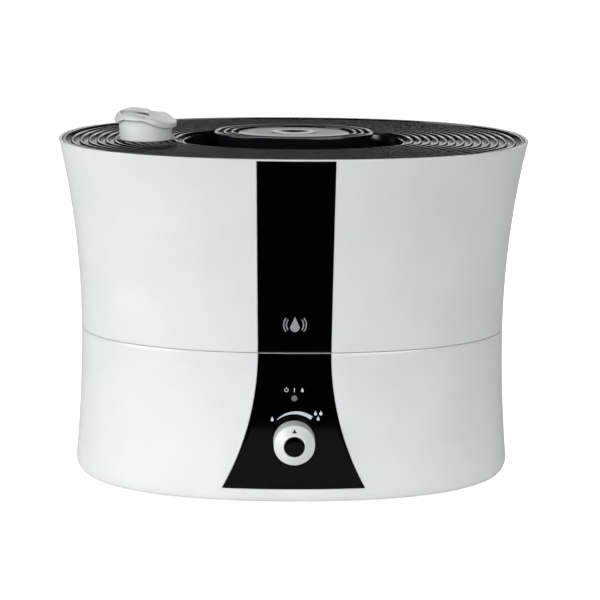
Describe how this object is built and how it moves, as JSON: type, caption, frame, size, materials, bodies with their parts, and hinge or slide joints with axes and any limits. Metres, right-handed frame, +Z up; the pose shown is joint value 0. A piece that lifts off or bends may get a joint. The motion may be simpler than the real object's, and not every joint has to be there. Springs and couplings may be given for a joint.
{
  "type": "cool mist humidifier",
  "caption": "Oval tabletop ultrasonic cool mist humidifier: lift-off water tank on a base with a mist dial, ridged top cover with a filling well and a turning nozzle.",
  "frame": {"origin": "centre of the whole object's width and depth, on the surface that the feet stand on", "axes": "+X to the object's right as seen from the front, along its width; the front panel and knob face -Y; +Z up"},
  "size_m": [0.3406, 0.2238, 0.2682],
  "materials": {
    "white_shell": "glossy",
    "white_nozzle": "satin gloss",
    "white_knob": "satin gloss",
    "black_panel": "high gloss",
    "black_cover": "glossy",
    "print_ink": "printed",
    "print_grey": "printed",
    "smoked_lens": "diffuse lens",
    "grey_plastic": "moulded",
    "natural_plastic": "moulded",
    "clear_tube": "gloss",
    "black_plastic": "moulded",
    "rubber": "matt",
    "silicone": "matt",
    "steel": "zinc plated",
    "aluminium": "extruded",
    "ceramic": "silvered",
    "board": "solder mask",
    "copper_winding": "enamelled wire",
    "magnet": "ferrite",
    "float_foam": "moulded"
  },
  "bodies": {
    "base": {"base_shell": "white_shell", "bottom_plate": "black_plastic", "rubber_feet": "rubber", "base_screws": "steel", "lower_panel": "black_panel", "panel_print": "print_ink", "led_lens": "smoked_lens", "status_led": "smoked_lens", "control_board": "board", "potentiometer": "steel", "water_tray": "natural_plastic", "transducer_seal": "silicone", "transducer_disc": "ceramic", "transducer_retainer": "steel", "transducer_screws": "steel", "driver_heatsink": "aluminium", "transformer": "copper_winding", "mains_capacitor": "black_plastic", "fan_frame": "black_plastic", "fan_motor": "copper_winding", "fan_screws": "steel", "air_duct": "grey_plastic", "reed_switch": "grey_plastic", "float_clip": "grey_plastic", "cord_gland": "rubber", "driver_board": "board", "power_board": "board"},
    "fan": {"fan_rotor": "black_plastic"},
    "float": {"float_ring": "float_foam", "float_magnet": "magnet"},
    "knob": {"knob_body": "white_knob", "knob_cap": "black_panel", "knob_pointer": "black_plastic", "knob_shaft": "steel"},
    "tank": {"tank_shell": "white_shell", "upper_panel": "black_panel", "emblem_print": "print_grey", "tank_floor": "natural_plastic", "mist_tube": "clear_tube", "valve_cap": "grey_plastic"},
    "valve": {"valve_plunger": "grey_plastic", "valve_seal": "silicone", "valve_spring": "steel"},
    "cover": {"top_cover": "black_cover", "cover_gasket": "silicone", "grip_disc": "black_cover", "grip_screws": "steel"},
    "collar": {"nozzle_collar": "black_plastic"},
    "nozzle": {"nozzle": "white_nozzle"}
  },
  "joints": [
    {"name": "knob_turn", "type": "hinge", "parent": "base", "child": "knob", "pos_m": [0, -0.09925, 0.049], "axis": [0, -1, 0], "range_deg": [-140, 140]},
    {"name": "fan_spin", "type": "hinge", "parent": "base", "child": "fan", "pos_m": [-0.04, 0.01375, 0.028], "axis": [0, 0, 1], "continuous": true},
    {"name": "float_rise", "type": "slide", "parent": "base", "child": "float", "axis": [0, 0, 1], "range_m": [0, 0.01]},
    {"name": "tank_lift", "type": "slide", "parent": "base", "child": "tank", "axis": [0, 0, 1], "range_m": [0, 0.16]},
    {"name": "valve_close", "type": "slide", "parent": "tank", "child": "valve", "axis": [0, 0, 1], "range_m": [-0.005, 0], "deforming": ["valve_spring"]},
    {"name": "cover_lift", "type": "slide", "parent": "tank", "child": "cover", "axis": [0, 0, 1], "range_m": [0, 0.1]},
    {"name": "collar_lift", "type": "slide", "parent": "cover", "child": "collar", "axis": [0, 0, 1], "range_m": [0, 0.05]},
    {"name": "nozzle_turn", "type": "hinge", "parent": "collar", "child": "nozzle", "pos_m": [-0.1076, 0.00575, 0.25], "axis": [0, 0, 1], "continuous": true}
  ],
  "couplings": [
    {"joint": "valve_close", "follows": "tank_lift", "ratio": -0.03125}
  ]
}
